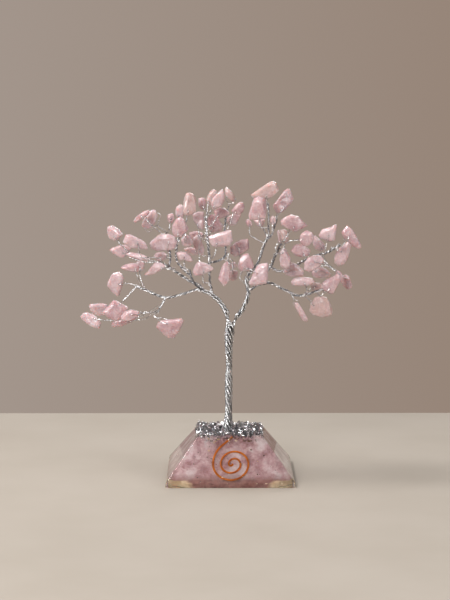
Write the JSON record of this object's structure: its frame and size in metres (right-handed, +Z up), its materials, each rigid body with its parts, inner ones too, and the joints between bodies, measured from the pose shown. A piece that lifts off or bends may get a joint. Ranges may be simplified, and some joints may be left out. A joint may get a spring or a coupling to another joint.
{
  "type": "gemstone tree ornament",
  "caption": "Small wire tree with swivelling rose quartz chips, standing in a clear cast pyramid filled with crushed stone and a copper spiral.",
  "frame": {"origin": "middle of the casting's flat underside", "axes": "+Z up the trunk, -Y out of the face with the copper spiral, +X to that face's right"},
  "size_m": [0.1438, 0.065, 0.1516],
  "materials": {
    "clear_resin": "clear cast resin, glossy",
    "rose_quartz": "tumbled, glossy, cloudy translucent pink",
    "silver_wire": "bright drawn wire, twisted",
    "copper": "bright copper wire",
    "metal_shavings": "bright turnings"
  },
  "bodies": {
    "tree": {"copper_spiral": "copper", "crushed_quartz": "rose_quartz", "inner_left_branch_wires": "silver_wire", "inner_left_chip_1": "rose_quartz", "inner_left_inner_chips": "rose_quartz", "left_limb_wires": "silver_wire", "low_left_branch_wires": "silver_wire", "low_left_inner_chips": "rose_quartz", "low_right_branch_wires": "silver_wire", "low_right_chip_2": "rose_quartz", "low_right_chip_3": "rose_quartz", "metal_shavings": "metal_shavings", "middle_left_branch_wires": "silver_wire", "middle_left_chip_2": "rose_quartz", "middle_left_inner_chips": "rose_quartz", "outer_right_branch_wires": "silver_wire", "outer_right_chip_4": "rose_quartz", "outer_right_inner_chips": "rose_quartz", "resin_base": "clear_resin", "right_inner_chips": "rose_quartz", "right_limb_wires": "silver_wire", "right_second_branch_wires": "silver_wire", "right_second_chip_2": "rose_quartz", "right_top_branch_wires": "silver_wire", "right_top_chip_4": "rose_quartz", "trunk_wires": "silver_wire", "upper_left_branch_wires": "silver_wire", "upper_left_chip_3": "rose_quartz", "upper_left_chip_4": "rose_quartz", "upper_left_chip_5": "rose_quartz", "upper_left_inner_chips": "rose_quartz"},
    "low_left_chip_1": {"low_left_chip_1": "rose_quartz"},
    "low_left_chip_2": {"low_left_chip_2": "rose_quartz"},
    "low_left_chip_3": {"low_left_chip_3": "rose_quartz"},
    "low_left_chip_4": {"low_left_chip_4": "rose_quartz"},
    "low_left_chip_5": {"low_left_chip_5": "rose_quartz"},
    "low_left_chip_6": {"low_left_chip_6": "rose_quartz"},
    "upper_left_chip_1": {"upper_left_chip_1": "rose_quartz"},
    "upper_left_chip_2": {"upper_left_chip_2": "rose_quartz"},
    "upper_left_chip_6": {"upper_left_chip_6": "rose_quartz"},
    "upper_left_chip_7": {"upper_left_chip_7": "rose_quartz"},
    "middle_left_chip_1": {"middle_left_chip_1": "rose_quartz"},
    "inner_left_chip_2": {"inner_left_chip_2": "rose_quartz"},
    "inner_left_chip_3": {"inner_left_chip_3": "rose_quartz"},
    "inner_left_chip_4": {"inner_left_chip_4": "rose_quartz"},
    "inner_left_chip_5": {"inner_left_chip_5": "rose_quartz"},
    "right_top_chip_1": {"right_top_chip_1": "rose_quartz"},
    "right_top_chip_2": {"right_top_chip_2": "rose_quartz"},
    "right_top_chip_3": {"right_top_chip_3": "rose_quartz"},
    "right_limb_chip_1": {"right_limb_chip_1": "rose_quartz"},
    "right_limb_chip_2": {"right_limb_chip_2": "rose_quartz"},
    "right_second_chip_1": {"right_second_chip_1": "rose_quartz"},
    "outer_right_chip_1": {"outer_right_chip_1": "rose_quartz"},
    "outer_right_chip_2": {"outer_right_chip_2": "rose_quartz"},
    "outer_right_chip_3": {"outer_right_chip_3": "rose_quartz"},
    "outer_right_chip_5": {"outer_right_chip_5": "rose_quartz"},
    "low_right_chip_1": {"low_right_chip_1": "rose_quartz"},
    "low_right_chip_4": {"low_right_chip_4": "rose_quartz"},
    "low_right_chip_5": {"low_right_chip_5": "rose_quartz"}
  },
  "joints": [
    {"name": "low_left_chip_1_swivel", "type": "hinge", "parent": "tree", "child": "low_left_chip_1", "pos_m": [-0.05583, -0.00893, 0.08912], "axis": [0.1727, -0.9794, 0.1045], "range_deg": [-12, 12]},
    {"name": "low_left_chip_2_swivel", "type": "hinge", "parent": "tree", "child": "low_left_chip_2", "pos_m": [-0.05621, 0.00431, 0.09857], "axis": [-0.2396, -0.9609, -0.1392], "range_deg": [-15, 15]},
    {"name": "low_left_chip_3_swivel", "type": "hinge", "parent": "tree", "child": "low_left_chip_3", "pos_m": [-0.04784, -0.01566, 0.10858], "axis": [0.2048, -0.9633, -0.1736], "range_deg": [-12, 12]},
    {"name": "low_left_chip_4_swivel", "type": "hinge", "parent": "tree", "child": "low_left_chip_4", "pos_m": [-0.03057, -0.02094, 0.08154], "axis": [-0.3023, -0.9303, -0.2079], "range_deg": [-15, 15]},
    {"name": "low_left_chip_5_swivel", "type": "hinge", "parent": "tree", "child": "low_left_chip_5", "pos_m": [-0.06428, 0.00097, 0.08534], "axis": [0.3078, -0.9474, -0.0872], "range_deg": [-12, 12]},
    {"name": "low_left_chip_6_swivel", "type": "hinge", "parent": "tree", "child": "low_left_chip_6", "pos_m": [-0.06945, 0.00899, 0.07966], "axis": [-0.3387, -0.9305, 0.1392], "range_deg": [-12, 12]},
    {"name": "upper_left_chip_1_swivel", "type": "hinge", "parent": "tree", "child": "upper_left_chip_1", "pos_m": [-0.05792, 0.0014, 0.12292], "axis": [-0.3726, -0.9221, -0.1045], "range_deg": [-15, 15]},
    {"name": "upper_left_chip_2_swivel", "type": "hinge", "parent": "tree", "child": "upper_left_chip_2", "pos_m": [-0.04651, -0.01602, 0.12115], "axis": [0.2059, -0.9686, -0.1392], "range_deg": [-15, 15]},
    {"name": "upper_left_chip_6_swivel", "type": "hinge", "parent": "tree", "child": "upper_left_chip_6", "pos_m": [-0.04, -0.00145, 0.13102], "axis": [0.5911, 0.0896, 0.8016], "range_deg": [-12, 12]},
    {"name": "upper_left_chip_7_swivel", "type": "hinge", "parent": "tree", "child": "upper_left_chip_7", "pos_m": [-0.0301, 0.00154, 0.13181], "axis": [0.1384, -0.9848, 0.1045], "range_deg": [-15, 15]},
    {"name": "middle_left_chip_1_swivel", "type": "hinge", "parent": "tree", "child": "middle_left_chip_1", "pos_m": [-0.0215, -0.0021, 0.13638], "axis": [0.173, -0.9811, 0.0872], "range_deg": [-12, 12]},
    {"name": "inner_left_chip_2_swivel", "type": "hinge", "parent": "tree", "child": "inner_left_chip_2", "pos_m": [-0.01364, -0.01178, 0.10715], "axis": [0.1361, -0.9686, -0.2079], "range_deg": [-12, 12]},
    {"name": "inner_left_chip_3_swivel", "type": "hinge", "parent": "tree", "child": "inner_left_chip_3", "pos_m": [-0.0013, -0.00422, 0.10789], "axis": [0.2074, -0.9758, 0.0698], "range_deg": [-12, 12]},
    {"name": "inner_left_chip_4_swivel", "type": "hinge", "parent": "tree", "child": "inner_left_chip_4", "pos_m": [0.0003, 0.00808, 0.14204], "axis": [0.9639, -0.1504, -0.2198], "range_deg": [-12, 12]},
    {"name": "inner_left_chip_5_swivel", "type": "hinge", "parent": "tree", "child": "inner_left_chip_5", "pos_m": [0.00248, -0.00416, 0.13627], "axis": [0.172, -0.9752, -0.1392], "range_deg": [-12, 12]},
    {"name": "right_top_chip_1_swivel", "type": "hinge", "parent": "tree", "child": "right_top_chip_1", "pos_m": [0.01867, -0.00148, 0.14442], "axis": [-0.2396, -0.9609, -0.1392], "range_deg": [-12, 12]},
    {"name": "right_top_chip_2_swivel", "type": "hinge", "parent": "tree", "child": "right_top_chip_2", "pos_m": [0.0147, -0.0103, 0.13469], "axis": [-0.1727, -0.9794, -0.1045], "range_deg": [-12, 12]},
    {"name": "right_top_chip_3_swivel", "type": "hinge", "parent": "tree", "child": "right_top_chip_3", "pos_m": [0.02672, 0.00673, 0.13753], "axis": [0.3726, -0.9221, 0.1045], "range_deg": [-12, 12]},
    {"name": "right_limb_chip_1_swivel", "type": "hinge", "parent": "tree", "child": "right_limb_chip_1", "pos_m": [0.00709, -0.0015, 0.10812], "axis": [0.1378, -0.9806, -0.1392], "range_deg": [-12, 12]},
    {"name": "right_limb_chip_2_swivel", "type": "hinge", "parent": "tree", "child": "right_limb_chip_2", "pos_m": [0.01397, -0.01188, 0.10513], "axis": [-0.173, -0.9811, 0.0872], "range_deg": [-12, 12]},
    {"name": "right_second_chip_1_swivel", "type": "hinge", "parent": "tree", "child": "right_second_chip_1", "pos_m": [0.03182, -0.00296, 0.12858], "axis": [0.2059, -0.9686, -0.1392], "range_deg": [-12, 12]},
    {"name": "outer_right_chip_1_swivel", "type": "hinge", "parent": "tree", "child": "outer_right_chip_1", "pos_m": [0.05, -0.00396, 0.12409], "axis": [-0.1384, -0.9848, -0.1045], "range_deg": [-12, 12]},
    {"name": "outer_right_chip_2_swivel", "type": "hinge", "parent": "tree", "child": "outer_right_chip_2", "pos_m": [0.05898, -0.00567, 0.12322], "axis": [0.3726, -0.9221, 0.1045], "range_deg": [-12, 12]},
    {"name": "outer_right_chip_3_swivel", "type": "hinge", "parent": "tree", "child": "outer_right_chip_3", "pos_m": [0.05723, 0.00477, 0.1149], "axis": [-0.1727, -0.9794, -0.1045], "range_deg": [-12, 12]},
    {"name": "outer_right_chip_5_swivel", "type": "hinge", "parent": "tree", "child": "outer_right_chip_5", "pos_m": [0.05918, 0.00912, 0.1003], "axis": [0.3726, -0.9221, -0.1045], "range_deg": [-12, 12]},
    {"name": "low_right_chip_1_swivel", "type": "hinge", "parent": "tree", "child": "low_right_chip_1", "pos_m": [0.04926, -0.0107, 0.09816], "axis": [0.2741, -0.956, -0.1045], "range_deg": [-12, 12]},
    {"name": "low_right_chip_4_swivel", "type": "hinge", "parent": "tree", "child": "low_right_chip_4", "pos_m": [0.03391, -0.00574, 0.08868], "axis": [-0.8673, -0.1328, -0.4798], "range_deg": [-12, 12]},
    {"name": "low_right_chip_5_swivel", "type": "hinge", "parent": "tree", "child": "low_right_chip_5", "pos_m": [0.04339, 0.00089, 0.08786], "axis": [-0.2741, -0.956, -0.1045], "range_deg": [-12, 12]}
  ]
}
